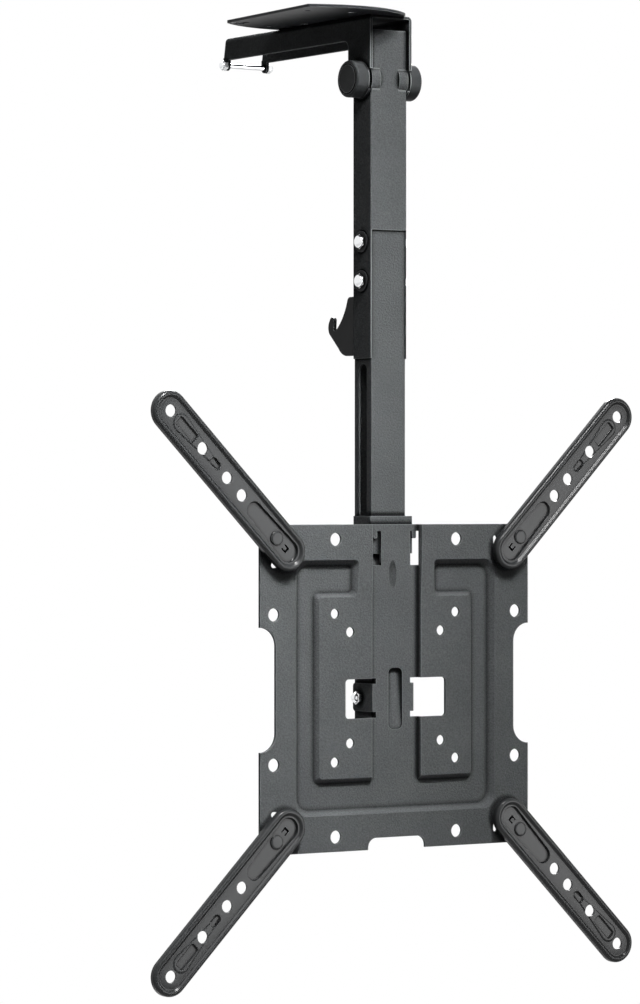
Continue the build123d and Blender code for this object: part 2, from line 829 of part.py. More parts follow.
def swing_section():
    """Half of the pressed section of a swinging arm: (distance from the middle, height)."""
    crest_back = swing_crest_height - swing_sheet
    points = [
        (0, swing_floor_back),
        (0, swing_floor_height),
        (swing_floor_half, swing_floor_height),
        (swing_crest_inner, swing_crest_height),
        (swing_crest_outer, swing_crest_height),
        (swing_half_width, swing_lip_height),
        (swing_half_width, 0),
        (swing_half_width - swing_sheet, 0),
        (swing_half_width - swing_sheet, swing_lip_height - swing_sheet / 2),
        (swing_crest_outer - swing_round, crest_back),
        (swing_crest_inner - swing_round, crest_back),
        (swing_floor_half, swing_floor_back),
    ]
    section = make_face(Polyline(*points, close=True))
    bends = section.vertices().filter_by(lambda v: swing_floor_half <= v.X and v.Y >= swing_lip_height)
    return fillet(bends, swing_round)


def tapering_pad(start, start_half, end, end_half):
    """Outline of a pad along an arm between two round ends of different width."""
    first = Pos(start, 0) * Circle(start_half)
    second = Pos(end - end_half, 0) * Circle(end_half)
    return make_hull(first.edges() + second.edges())


def pad_outline(grow):
    """Outline of the sunk pad round the rivet, grown by grow."""
    return tapering_pad(pad_start, pad_start_radius + grow, pad_end + grow, pad_end_radius + grow)


def box_outline(grow):
    """Outline of the long sunk boss, grown by grow."""
    length, width = box_boss_size
    shape = RectangleRounded(length + 2 * grow, width + 2 * grow, width / 3 + grow)
    return Pos(box_boss_place, 0) * shape


def oval_outline(grow):
    """Outline of the short sunk boss, grown by grow."""
    length, width = oval_boss_size
    return Pos(oval_boss_place, 0) * SlotOverall(length + 2 * grow, width + 2 * grow)


def pressed_block(outline, top, depth, inset, wall):
    """Tapered block of a pressed hollow, from its mouth down, grown by a wall."""
    mouth = Plane.XY.offset(top) * outline(wall)
    foot = Plane.XY.offset(top - depth) * outline(wall - inset)
    return loft([mouth.face(), foot.face()], ruled=True)


def make_swing_arm_flat():
    """Pressed arm lying along +X, seen from its front, with its back at height 0."""
    half = swing_section()
    half_solid = extrude(Plane.YZ * half, amount=swing_reach + swing_tail)
    half_solid = Pos(-swing_tail, 0, 0) * half_solid
    arm = half_solid + mirror(half_solid, Plane.XZ)
    end = revolve(Plane.YZ * half, Axis.Z, revolution_arc=-180)
    arm += Pos(swing_reach, 0, 0) * end
    arm += Pos(-swing_tail, 0, 0) * Rot(0, 0, 180) * end

    shield = tapering_pad(shield_start, shield_start_half, shield_end, shield_end_half)
    arm += Pos(0, 0, swing_floor_height) * extrude(shield, amount=shield_rise)
    hollows = (
        (pad_outline, pad_sink, pad_inset),
        (box_outline, boss_sink, boss_inset),
        (oval_outline, boss_sink, boss_inset),
    )
    for outline, depth, inset in hollows:
        arm += pressed_block(outline, swing_floor_back, depth, inset, pressed_wall)
    for outline, depth, inset in hollows:
        arm -= pressed_block(outline, swing_floor_height, depth, inset, 0)
        arm -= Pos(0, 0, swing_floor_height) * extrude(outline(0), amount=2 * shield_rise)

    for reach in swing_holes:
        arm -= Pos(reach, 0, 0) * Cylinder(swing_hole_radius, 4 * swing_crest_height)
    arm -= Cylinder(rivet_shank_radius + running_clearance, 4 * swing_crest_height)
    arm -= Pos(tab_place, 0, 0) * Box(*tab_hole, 4 * swing_crest_height)
    blade_x = tab_place + (tab_hole[0] - tab_blade[0]) / 2
    blade = Box(*tab_blade, swing_sheet, align=(Align.CENTER, Align.CENTER, Align.MIN))
    arm += Pos(blade_x, 0, pad_back) * blade
    peg_height = pad_clearance + sheet - side_clearance
    peg = Cylinder(stop_peg_radius, peg_height, align=(Align.CENTER, Align.CENTER, Align.MAX))
    arm += Pos(-stop_radius, 0, pad_back) * peg
    return arm


def make_swing_arm(side, up):
    """Swinging arm at one corner of the screen plate, pointing outwards."""
    angle = math.degrees(math.atan2(up, side))
    place = Pos(side * swing_pivot, swing_back_y, screen_z + up * swing_pivot)
    turned = Rot(90, 0, 0) * Rot(0, 0, angle) * make_swing_arm_flat()
    return place * turned


def make_rivets():
    """Rivets that hold the swinging arms to the screen plate, with a shoulder between them."""
    rivets = []
    shoulder_height = pad_clearance - running_clearance
    grip = pad_clearance + swing_sheet + running_clearance
    for side in (-1, 1):
        for up in (-1, 1):
            place = Pos(side * swing_pivot, screen_y, screen_z + up * swing_pivot) * Rot(90, 0, 0)
            low_end = (Align.CENTER, Align.CENTER, Align.MIN)
            rivet = Pos(0, 0, -sheet) * Cylinder(rivet_shank_radius, sheet + grip, align=low_end)
            rivet += Cylinder(rivet_shoulder_radius, shoulder_height, align=low_end)
            head = Cylinder(rivet_head_radius, rivet_head_height, align=low_end)
            head = fillet(head.edges().group_by(Axis.Z)[-1], rivet_head_height * 0.6)
            rivet += Pos(0, 0, grip) * head
            tail_end = (Align.CENTER, Align.CENTER, Align.MAX)
            rivet += Pos(0, 0, -sheet) * Cylinder(rivet_tail_radius, rivet_tail_height, align=tail_end)
            rivets.append(place * rivet)
    return Compound(children=rivets)


save("ceiling_plate", make_ceiling_plate())
save("ceiling_arm", make_ceiling_arm())
save("hub_cap_left", make_hub_cap(-1))
save("hub_cap_right", make_hub_cap(1))
save("hinge_pin", make_hinge_pin())
save("cross_rod", make_cross_rod())
save("rod_nuts", make_rod_nuts())
save("hinge_drums", make_hinge_drums())
save("upper_tube", make_upper_tube())
save("catch_hook", make_catch_hook())
save("clamp_bolts", make_clamp_bolts())
save("clamp_nuts", make_clamp_nuts())
save("clamp_washers", make_clamp_washers())
save("lower_tube", make_lower_tube())
save("saddle", make_saddle())
save("ear_bolt", make_ear_bolt())
save("ear_nut", make_ear_nut())
save("ear_spacers", make_ear_spacers())
save("screen_plate", make_screen_plate())
save("rivets", make_rivets())
for up, height_name in ((1, "upper"), (-1, "lower")):
    for side, side_name in ((-1, "left"), (1, "right")):
        save(f"{height_name}_{side_name}_arm", make_swing_arm(side, up))
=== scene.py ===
# %% [markdown]
# # A fold-up ceiling mount for a flat screen
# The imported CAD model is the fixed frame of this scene. Every piece below is in metres and in the
# same frame: X to the right, Y to the back, Z up, with the ceiling at height zero.
# The solids already have the shape of the real steel, so most of the work here is in the finish:
# powder coat that looks matt from afar and grainy from near, satin hubs and bright plated nuts.

# %% Load the frame
import json
import math

import bmesh
import bpy
from mathutils import Matrix, Vector


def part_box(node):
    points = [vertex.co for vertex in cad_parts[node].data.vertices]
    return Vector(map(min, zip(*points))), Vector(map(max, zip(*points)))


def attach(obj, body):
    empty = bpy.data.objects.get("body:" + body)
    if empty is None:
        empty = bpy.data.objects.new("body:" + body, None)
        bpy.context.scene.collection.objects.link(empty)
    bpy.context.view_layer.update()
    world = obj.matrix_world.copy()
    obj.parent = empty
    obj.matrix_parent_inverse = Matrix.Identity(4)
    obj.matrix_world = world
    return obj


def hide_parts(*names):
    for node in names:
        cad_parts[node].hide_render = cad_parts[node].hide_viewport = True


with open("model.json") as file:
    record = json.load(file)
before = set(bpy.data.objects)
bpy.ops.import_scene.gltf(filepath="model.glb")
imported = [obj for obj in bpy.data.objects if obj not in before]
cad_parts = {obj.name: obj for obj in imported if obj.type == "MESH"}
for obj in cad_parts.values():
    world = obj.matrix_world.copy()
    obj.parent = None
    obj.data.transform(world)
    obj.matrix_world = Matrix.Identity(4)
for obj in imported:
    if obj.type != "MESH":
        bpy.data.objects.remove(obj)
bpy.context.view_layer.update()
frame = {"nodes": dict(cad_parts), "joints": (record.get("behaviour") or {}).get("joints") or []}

MM = 0.001
nodes = frame["nodes"]

# %% [markdown]
# ## The camera
# The mount is seen from the left, about 34 degrees off its front, level and from nearly three
# metres away with a long lens. The place and the lens come from fitting the hole rows of the
# screen plate, whose distances are standard, and the corners of the folded arm at the top.

# %% Camera
CAMERA_PLACE = (-1637.9 * MM, -2343.6 * MM, -332.7 * MM)
CAMERA_TURN = 34.131
CAMERA_LENS = 150.21
SENSOR_WIDTH = 36.0
FAR_CLIP = 50.0

camera_data = bpy.data.cameras.new("camera")
camera_data.lens = CAMERA_LENS
camera_data.sensor_width = SENSOR_WIDTH
camera_data.clip_end = FAR_CLIP
camera = bpy.data.objects.new("camera", camera_data)
camera.location = CAMERA_PLACE
camera.rotation_euler = (math.radians(90), 0, -math.radians(CAMERA_TURN))
bpy.context.scene.collection.objects.link(camera)
bpy.context.scene.camera = camera
bpy.context.scene.view_settings.view_transform = "Standard"
print("camera at", [round(v, 3) for v in camera.location])

# %% [markdown]
# ## The studio
# A product photograph has a plain white surround. The world is white to the eye and in
# reflections, and nearly dark as a light, because a bright world would fill the left sides and
# undersides that are almost black on the real photograph. The lamps alone shape the object.
# A helper comes first, because the world and the floor share it: it tells a ray that carries a
# picture, to the camera or by way of a mirror or glass, from one that only carries light.


# %% Rays that are seen
def link_seen(tree):
    """Socket that is 1 for rays of the camera, of mirrors and of glass, and 0 for light."""
    paths = tree.nodes.new("ShaderNodeLightPath")
    seen = paths.outputs["Is Camera Ray"]
    for label in ("Is Glossy Ray", "Is Transmission Ray"):
        either = tree.nodes.new("ShaderNodeMath")
        either.operation = "MAXIMUM"
        tree.links.new(seen, either.inputs[0])
        tree.links.new(paths.outputs[label], either.inputs[1])
        seen = either.outputs[0]
    return seen


# %% [markdown]
# The world mixes two backgrounds by that socket: a dim one as the light and a white one to see.

# %% World
SURROUND_AS_LIGHT = 0.02

world = bpy.data.worlds.new("studio")
bpy.context.scene.world = world
world.use_nodes = True
sky = world.node_tree
sky.nodes.clear()
dim = sky.nodes.new("ShaderNodeBackground")
dim.inputs["Strength"].default_value = SURROUND_AS_LIGHT
dim.inputs["Color"].default_value = (1, 1, 1, 1)
white = sky.nodes.new("ShaderNodeBackground")
white.inputs["Color"].default_value = (1, 1, 1, 1)
pick = sky.nodes.new("ShaderNodeMixShader")
world_out = sky.nodes.new("ShaderNodeOutputWorld")
sky.links.new(link_seen(sky), pick.inputs["Fac"])
sky.links.new(dim.outputs[0], pick.inputs[1])
sky.links.new(white.outputs[0], pick.inputs[2])
sky.links.new(pick.outputs[0], world_out.inputs["Surface"])
print("world: white to the eye,", SURROUND_AS_LIGHT, "as a light")

# %% [markdown]
# The mount hangs in the air, so the floor lies well below it, out of the picture. It is pale and
# plain, and takes the soft shadow that other views show. Part of its paleness is for the eye
# only, because a fully lit floor would throw light up at the dark undersides.

# %% Floor
FLOOR_HEIGHT = -1.25
FLOOR_HALF = 2.5
FLOOR_COLOUR = (0.82, 0.82, 0.82, 1)
FLOOR_ROUGHNESS = 0.9
FLOOR_TO_THE_EYE = 0.68

floor_mesh = bpy.data.meshes.new("floor")
floor_corners = [
    (x * FLOOR_HALF, y * FLOOR_HALF, FLOOR_HEIGHT) for x, y in ((-1, -1), (1, -1), (1, 1), (-1, 1))
]
floor_mesh.from_pydata(floor_corners, [], [(0, 1, 2, 3)])
floor_paint = bpy.data.materials.new("floor_paint")
floor_paint.use_nodes = True
floor_nodes = floor_paint.node_tree
floor_shader = floor_nodes.nodes["Principled BSDF"]
floor_shader.inputs["Base Color"].default_value = FLOOR_COLOUR
floor_shader.inputs["Roughness"].default_value = FLOOR_ROUGHNESS
floor_shader.inputs["Emission Color"].default_value = (1, 1, 1, 1)
glow = floor_nodes.nodes.new("ShaderNodeMath")
glow.operation = "MULTIPLY"
glow.inputs[1].default_value = FLOOR_TO_THE_EYE
floor_nodes.links.new(link_seen(floor_nodes), glow.inputs[0])
floor_nodes.links.new(glow.outputs[0], floor_shader.inputs["Emission Strength"])
floor_mesh.materials.append(floor_paint)
floor = bpy.data.objects.new("floor", floor_mesh)
bpy.context.scene.collection.objects.link(floor)
print("floor at", FLOOR_HEIGHT, "m")

# %% [markdown]
# Two soft lamps stand high in front, one for the plate and one for the column, with narrow
# spreads, so that the light falls off to the right and the undersides of pressed steps stay dark.
# A lamp behind gives the back and the right side, which this camera can't see, the same grey.
# A small lamp high on the left sets the bright spots on the rounded tips of the arms. A wide card
# stands where the flat floors of the glossy arms mirror it. It shows only in reflections, because
# as a lamp it would fill the shadows, and it is what tells gloss from matt in this picture.

# %% Lamps
LAMPS = {
    # name: place, target, size, watts, spread in degrees
    "plate_lamp": ((-0.12, -0.98, 1.02), (-0.21, 0.0, -0.42), 0.30, 2.2, 32.0),
    "column_lamp": ((0.05, -1.30, 0.95), (-0.05, 0.0, -0.08), 0.30, 0.54, 32.0),
    "spark_lamp": ((-0.75, -1.10, 0.95), (0.0, 0.0, -0.40), 0.11, 1.1, 120.0),
    "back_lamp": ((0.85, 1.35, 0.75), (0.0, 0.0, -0.35), 0.50, 6.5, 50.0),
    "mirror_card": ((0.85, -1.20, -0.50), (0.0, 0.0, -0.45), 0.85, 13.0, 180.0),
}
SEEN_ONLY_IN_GLOSS = ("mirror_card",)

for lamp_name, (place, target, size, watts, spread) in LAMPS.items():
    lamp_data = bpy.data.lights.new(lamp_name, "AREA")
    lamp_data.size = size
    lamp_data.energy = watts
    lamp_data.spread = math.radians(spread)
    lamp = bpy.data.objects.new(lamp_name, lamp_data)
    lamp.location = place
    lamp.rotation_euler = (Vector(target) - Vector(place)).to_track_quat("-Z", "Y").to_euler()
    lamp.visible_diffuse = lamp_name not in SEEN_ONLY_IN_GLOSS
    bpy.context.scene.collection.objects.link(lamp)
print("lamps:", list(LAMPS))

# %% [markdown]
# ## Effects that several finishes share
# Each effect is a shader node group with named inputs, so that one recipe serves every finish
# with its own numbers. A group gives out only colours, masks, heights and normals; the shader
# itself stays in the material.


# %% A helper for groups
def new_group(name, inputs, outputs):
    """Empty shader node group; inputs hold a name, a kind and a value, outputs a name and a kind."""
    group = bpy.data.node_groups.new(name, "ShaderNodeTree")
    for label, kind, value in inputs:
        socket = group.interface.new_socket(label, in_out="INPUT", socket_type="NodeSocket" + kind)
        socket.default_value = value
    for label, kind in outputs:
        group.interface.new_socket(label, in_out="OUTPUT", socket_type="NodeSocket" + kind)
    return group, group.nodes.new("NodeGroupInput"), group.nodes.new("NodeGroupOutput")


# %% [markdown]
# **Grain.** Powder coat cures into tiny bumps about a millimetre across, with a slow cloudiness
# over the sheet where the layer is thicker. Two noises in object space give both, so the grain
# keeps its real size on every piece and goes round corners without a seam.

# %% Grain group
NOISE_DETAIL = 3.0

grain_group, grain_in, grain_out = new_group(
    "powder_grain",
    [("Grain Scale", "Float", 900.0), ("Cloud Scale", "Float", 30.0)],
    [("Grain", "Float"), ("Cloud", "Float")],
)
where = grain_group.nodes.new("ShaderNodeTexCoord")
for label in ("Grain", "Cloud"):
    noise = grain_group.nodes.new("ShaderNodeTexNoise")
    noise.inputs["Detail"].default_value = NOISE_DETAIL
    grain_group.links.new(where.outputs["Object"], noise.inputs["Vector"])
    grain_group.links.new(grain_in.outputs[label + " Scale"], noise.inputs["Scale"])
    grain_group.links.new(noise.outputs["Fac"], grain_out.inputs[label])
print("group:", grain_group.name)

# %% [markdown]
# ** Edges.** Convex edges are paler. Part of this is wear, where paint runs thin over a cut edge and hands
# polish it, and part is a painted highlight along the edge's rounding.
# Ambient occlusion measured inside the steel finds them: close to an edge the rays inside soon
# leave the sheet. The Bevel node rounds the shading of the sharp CAD edges by a hair.

# %% Edge group
OCCLUSION_SAMPLES = 8
EDGE_FULL = 0.6
ROUNDING_SAMPLES = 4

edge_group, edge_in, edge_out = new_group(
    "worn_and_highlit_edges",
    [("Reach", "Float", 0.8 * MM), ("Round", "Float", 0.35 * MM), ("Start", "Float", 0.95)],
    [("Edge", "Float"), ("Normal", "Vector")],
)
inner_rays = edge_group.nodes.new("ShaderNodeAmbientOcclusion")
inner_rays.inside = True
inner_rays.only_local = True
inner_rays.samples = OCCLUSION_SAMPLES
edge_group.links.new(edge_in.outputs["Reach"], inner_rays.inputs["Distance"])
# The edge mask paints edges paler: partly wear, partly painted highlight.
edge_wear_and_highlight_mask = edge_group.nodes.new("ShaderNodeMapRange")
edge_wear_and_highlight_mask.interpolation_type = "SMOOTHSTEP"
edge_wear_and_highlight_mask.inputs["From Max"].default_value = EDGE_FULL
edge_group.links.new(edge_in.outputs["Start"], edge_wear_and_highlight_mask.inputs["From Min"])
edge_group.links.new(inner_rays.outputs["AO"], edge_wear_and_highlight_mask.inputs["Value"])
rounding = edge_group.nodes.new("ShaderNodeBevel")
rounding.samples = ROUNDING_SAMPLES
edge_group.links.new(edge_in.outputs["Round"], rounding.inputs["Radius"])
edge_group.links.new(edge_wear_and_highlight_mask.outputs["Result"], edge_out.inputs["Edge"])
edge_group.links.new(rounding.outputs["Normal"], edge_out.inputs["Normal"])
print("group:", edge_group.name)

# %% [markdown]
# ** Crevices.** Where two surfaces meet, light hardly gets in, and there the colour is darkened as
# painted shade. This draws the fine dark lines round rivets, slots and pressed steps. The same
# occlusion, measured outside.

# %% Crevice group
crevice_shade_group, crevice_shade_in, crevice_shade_out = new_group(
    "painted_crevice_shade",
    [("Reach", "Float", 3.0 * MM), ("Start", "Float", 0.97), ("Full", "Float", 0.8)],
    [("Shade", "Float")],
)
outer_rays = crevice_shade_group.nodes.new("ShaderNodeAmbientOcclusion")
outer_rays.samples = OCCLUSION_SAMPLES
crevice_shade_group.links.new(crevice_shade_in.outputs["Reach"], outer_rays.inputs["Distance"])
# Painted shade: where the outer occlusion is high, the mask darkens the colour.
crevice_shade_mask = crevice_shade_group.nodes.new("ShaderNodeMapRange")
crevice_shade_mask.interpolation_type = "SMOOTHSTEP"
crevice_shade_group.links.new(crevice_shade_in.outputs["Start"], crevice_shade_mask.inputs["From Min"])
crevice_shade_group.links.new(crevice_shade_in.outputs["Full"], crevice_shade_mask.inputs["From Max"])
crevice_shade_group.links.new(outer_rays.outputs["AO"], crevice_shade_mask.inputs["Value"])
crevice_shade_group.links.new(crevice_shade_mask.outputs["Result"], crevice_shade_out.inputs["Shade"])
print("group:", crevice_shade_group.name)


# %% [markdown]
# ## Finishes
# One function makes every coat. It mixes the coat's colour with pale edges, which are partly wear and
# partly painted highlight, and with painted shade in the crevices. It lets the grain stir colour,
# roughness and height, and sets the gloss on the shader's own socket.

# %% How strong the shared effects are
# The crevice colour and strength paint shade into a coat's colour. The edge strength paints its edges
# paler, partly wear and partly highlight.
CREVICE_SHADE_COLOUR = (0.004, 0.004, 0.0045, 1)
EDGE_WEAR_AND_HIGHLIGHT_STRENGTH = 0.75
CREVICE_SHADE_STRENGTH = 0.9
NOISE_LOW, NOISE_HIGH = 0.3, 0.7
CLOUD_TONE = 0.06
ROUGHNESS_SWING = 0.05
print("edges at", EDGE_WEAR_AND_HIGHLIGHT_STRENGTH, "and crevices at", CREVICE_SHADE_STRENGTH)

# %% [markdown]
# Four small helpers keep the recipe readable. Each puts one kind of node into a material's tree
# and links or sets what goes into it.


# %% Helpers for materials
def place_group(tree, group, **values):
    """Node that uses a group, with its named inputs set; an underscore stands for a space."""
    node = tree.nodes.new("ShaderNodeGroup")
    node.node_tree = group
    for label, value in values.items():
        node.inputs[label.replace("_", " ")].default_value = value
    return node


def mix_colour(tree, kind, factor, first, second):
    """Mix node for colours; a socket is linked and anything else is set."""
    mix = tree.nodes.new("ShaderNodeMix")
    mix.data_type = "RGBA"
    mix.blend_type = kind
    for socket, value in zip((mix.inputs["Factor"], mix.inputs[6], mix.inputs[7]), (factor, first, second)):
        if isinstance(value, bpy.types.NodeSocket):
            tree.links.new(value, socket)
        else:
            socket.default_value = value
    return mix.outputs[2]


def times(tree, value, amount):
    """Math node that multiplies a value by a number."""
    product = tree.nodes.new("ShaderNodeMath")
    product.operation = "MULTIPLY"
    product.inputs[1].default_value = amount
    tree.links.new(value, product.inputs[0])
    return product.outputs[0]


def spread_value(tree, value, source, target, clamp=True):
    """Map Range node that stretches a value from one pair of limits to another."""
    spread = tree.nodes.new("ShaderNodeMapRange")
    spread.inputs["From Min"].default_value, spread.inputs["From Max"].default_value = source
    spread.inputs["To Min"].default_value, spread.inputs["To Max"].default_value = target
    spread.clamp = clamp
    tree.links.new(value, spread.inputs["Value"])
    return spread.outputs["Result"]


# %% [markdown]
# The recipe of a coat. Colour first: grain and cloud darken or lighten it a little, and edges turn
# pale with wear and painted highlight. Crevices go nearly black last as painted shade, laid over
# all the rest. Then roughness and height follow the same grain, so that a speck that is seen is
# also felt by the light.


# %% The recipe of a coat
def coat(
    name, colour, worn_highlight_edge_colour, roughness, gloss, grain_tone, grain_height, round_by, reach,
    edge_reach=0.8 * MM,
):
    """Painted steel: colour with pale edges of wear and painted highlight, painted shade in crevices, and a
    grain that is felt and seen.
    """
    material = bpy.data.materials.new(name)
    material.use_nodes = True
    tree = material.node_tree
    shader = tree.nodes["Principled BSDF"]
    grain = place_group(tree, grain_group)
    edges = place_group(tree, edge_group, Round=round_by, Reach=edge_reach)
    crevices = place_group(tree, crevice_shade_group, Reach=reach)

    noise = (NOISE_LOW, NOISE_HIGH)
    tone = spread_value(tree, grain.outputs["Grain"], noise, (1 - grain_tone, 1 + grain_tone), clamp=False)
    cloud = spread_value(tree, grain.outputs["Cloud"], noise, (1 - CLOUD_TONE, 1 + CLOUD_TONE))
    toned = mix_colour(tree, "MULTIPLY", 1.0, (*colour, 1), tone)
    clouded = mix_colour(tree, "MULTIPLY", 1.0, toned, cloud)
    # Pale edges: partly wear, partly painted highlight.
    edge = times(tree, edges.outputs["Edge"], EDGE_WEAR_AND_HIGHLIGHT_STRENGTH)
    edged = mix_colour(tree, "MIX", edge, clouded, (*worn_highlight_edge_colour, 1))
    # Painted shade: crevices go nearly black.
    shade = times(tree, crevices.outputs["Shade"], CREVICE_SHADE_STRENGTH)
    tree.links.new(mix_colour(tree, "MIX", shade, edged, CREVICE_SHADE_COLOUR), shader.inputs["Base Color"])

    limits = (roughness - ROUGHNESS_SWING, roughness + ROUGHNESS_SWING)
    rough = spread_value(tree, grain.outputs["Grain"], (0.0, 1.0), limits)
    tree.links.new(rough, shader.inputs["Roughness"])
    bump = tree.nodes.new("ShaderNodeBump")
    bump.inputs["Distance"].default_value = grain_height
    tree.links.new(grain.outputs["Grain"], bump.inputs["Height"])
    tree.links.new(edges.outputs["Normal"], bump.inputs["Normal"])
    tree.links.new(bump.outputs["Normal"], shader.inputs["Normal"])
    shader.inputs["Specular IOR Level"].default_value = gloss
    print("finish:", name)
    return material


# %% [markdown]
# Seven coats. The plate and the tubes are coarse and matt, with almost no gloss. The arms and
# rivets are smooth black enamel: they show what they mirror more than their own colour. The hub
# caps lie in between, and the folded channel at the top has the palest cut edges. The pale rims of
# the hub caps are a painted highlight. The channel's pale edges are partly wear and partly painted
# highlight.

# %% Coats of the plate and the column
PLATE_GREY = (0.1, 0.105, 0.108)

powder_coat = coat(
    "powder_coat", PLATE_GREY, worn_highlight_edge_colour=(0.20, 0.21, 0.215), roughness=0.60, gloss=0.01,
    grain_tone=0.20, grain_height=0.50 * MM, round_by=1.0 * MM, reach=4.0 * MM,
)
column_coat = coat(
    "column_coat", PLATE_GREY, worn_highlight_edge_colour=(0.24, 0.25, 0.255), roughness=0.60, gloss=0.0,
    grain_tone=0.20, grain_height=0.35 * MM, round_by=0.4 * MM, reach=4.0 * MM,
)
# The channel's pale edges: partly wear, partly painted highlight.
channel_coat = coat(
    "channel_coat", (0.08, 0.084, 0.086), worn_highlight_edge_colour=(0.45, 0.47, 0.48), roughness=0.60, gloss=0.01,
    grain_tone=0.20, grain_height=0.35 * MM, round_by=0.4 * MM, reach=4.0 * MM,
)
top_coat = coat(
    "top_coat", (0.03, 0.032, 0.035), worn_highlight_edge_colour=(0.16, 0.165, 0.17), roughness=0.30, gloss=0.06,
    grain_tone=0.08, grain_height=0.03 * MM, round_by=0.35 * MM, reach=3.0 * MM,
)

# %% [markdown]
# The smoother ones. They carry less grain, so that what they mirror stays sharp.

# %% Coats of the smaller pieces
arm_coat = coat(
    "arm_coat", (0.022, 0.0235, 0.0245), worn_highlight_edge_colour=(0.06, 0.062, 0.064), roughness=0.25, gloss=0.20,
    grain_tone=0.04, grain_height=0.001 * MM, round_by=0.3 * MM, reach=2.5 * MM,
)
# The hub caps' pale rim is a painted highlight: a thin bright crescent on the rounded edge.
hub_coat = coat(
    "hub_coat", (0.055, 0.058, 0.06), worn_highlight_edge_colour=(0.55, 0.57, 0.58), roughness=0.30, gloss=0.04,
    grain_tone=0.05, grain_height=0.012 * MM, round_by=0.5 * MM, reach=2.2 * MM, edge_reach=0.6 * MM,
)
hook_coat = coat(
    "hook_coat", (0.02, 0.021, 0.022), worn_highlight_edge_colour=(0.10, 0.105, 0.11), roughness=0.40, gloss=0.08,
    grain_tone=0.08, grain_height=0.02 * MM, round_by=0.4 * MM, reach=2.0 * MM,
)

# %% [markdown]
# The nuts, bolts and the cross rod are zinc plated: nearly white metal that mirrors the surround,
# slightly dulled in patches. Their crevices get the same painted shade as the coats, a darker colour
# where surfaces meet.

# %% Zinc
ZINC_COLOUR = (0.86, 0.87, 0.88, 1)
# Colour and strength of the painted shade in the zinc's crevices.
ZINC_CREVICE_SHADE = (0.05, 0.05, 0.055, 1)
ZINC_CREVICE_SHADE_STRENGTH = 0.85
ZINC_ROUGHNESS = (0.10, 0.22)

zinc = bpy.data.materials.new("bright_zinc")
zinc.use_nodes = True
zinc_tree = zinc.node_tree
zinc_shader = zinc_tree.nodes["Principled BSDF"]
zinc_grain = place_group(zinc_tree, grain_group, Grain_Scale=600.0, Cloud_Scale=120.0)
zinc_edges = place_group(zinc_tree, edge_group, Round=0.3 * MM)
zinc_crevice_shade = place_group(zinc_tree, crevice_shade_group, Reach=1.5 * MM)
# Painted shade: the zinc's colour goes dark in its crevices.
zinc_shade = times(zinc_tree, zinc_crevice_shade.outputs["Shade"], ZINC_CREVICE_SHADE_STRENGTH)
zinc_tree.links.new(
    mix_colour(zinc_tree, "MIX", zinc_shade, ZINC_COLOUR, ZINC_CREVICE_SHADE), zinc_shader.inputs["Base Color"]
)
zinc_rough = spread_value(zinc_tree, zinc_grain.outputs["Cloud"], (0.0, 1.0), ZINC_ROUGHNESS)
zinc_tree.links.new(zinc_rough, zinc_shader.inputs["Roughness"])
zinc_tree.links.new(zinc_edges.outputs["Normal"], zinc_shader.inputs["Normal"])
zinc_shader.inputs["Metallic"].default_value = 1.0
print("finish:", zinc.name)

# %% [markdown]
# Each solid of the frame now gets its finish. The names on the left are the finishes.

# %% Finishes on the solids
FINISHES = {
    powder_coat: ("lower_tube", "saddle", "screen_plate"),
    column_coat: ("upper_tube", "hinge_drums"),
    channel_coat: ("ceiling_arm",),
    arm_coat: ("upper_left_arm", "upper_right_arm", "lower_left_arm", "lower_right_arm", "rivets"),
    hub_coat: ("hub_cap_left", "hub_cap_right"),
    hook_coat: ("catch_hook", "clamp_washers"),
    top_coat: ("ceiling_plate",),
    zinc: (
        "cross_rod", "rod_nuts", "clamp_nuts", "clamp_bolts", "ear_bolt", "ear_nut", "ear_spacers",
        "hinge_pin",
    ),
}
for finish, names in FINISHES.items():
    for name in names:
        nodes[name].data.materials.clear()
        nodes[name].data.materials.append(finish)
print("finished:", sum(len(names) for names in FINISHES.values()), "of", len(nodes), "nodes")

# %% [markdown]
# ## The swinging arms
# Each arm is one pressed strip: a flat channel with a rounded rim all the way round, a sunk pad
# that carries the rivet, two small sunk bosses and a row of holes. It is the glossiest part, so
# its rim has to be truly round or its highlights come out flat. A box with bevels can't give
# that, and a sculpt would not be exact. So the arm is laid out as rings, like the tracks of a
# stadium, from its centre line to its rim and back along the underside. A rule gives each ring
# its height, and one Boolean punches the holes. First come the sizes, measured along the arm from
# its rivet and, for heights, from the arm's back.

# %% Sizes of the pressed strip
ARM_REACH = 118.5 * MM
ARM_TAIL = 12.5 * MM
ARM_SHEET = 1.6 * MM
FLOOR_HALF_WIDTH = 8.4 * MM
FLOOR_TOP = 3.5 * MM
FLOOR_CROWN = 0.35 * MM
CREST_AT = 10.7 * MM
CREST_TOP = 4.9 * MM
ARM_HALF_WIDTH = 13.3 * MM
RIM_DROP = 2.4 * MM
PRESSED_WALL = 0.8 * MM
SHIELD_RISE = 0.35 * MM
SHIELD_WALL = 0.6 * MM
PAD_DEPTH = 1.9 * MM
BOSS_DEPTH = 1.4 * MM
# Pads with two round ends: start, radius there, end, radius there.
SHIELD = (66 * MM, 1.6 * MM, 107 * MM, 6.3 * MM)
PAD = (-12.2 * MM, 7.7 * MM, 26.1 * MM, 6.0 * MM)
# Boxes with round corners: centre, length, width, corner radius.
BOX = (101.2 * MM, 18.9 * MM, 7.0 * MM, 1.6 * MM)
OVAL = (69.9 * MM, 9.3 * MM, 6.0 * MM, 2.9 * MM)
print("arm:", round((ARM_REACH + ARM_TAIL + 2 * ARM_HALF_WIDTH) / MM, 1), "mm long")

# %% [markdown]
# Each pressed form is an outline with a wall. A function gives the distance to the outline, and
# a smooth step over the wall's width turns that distance into a height.


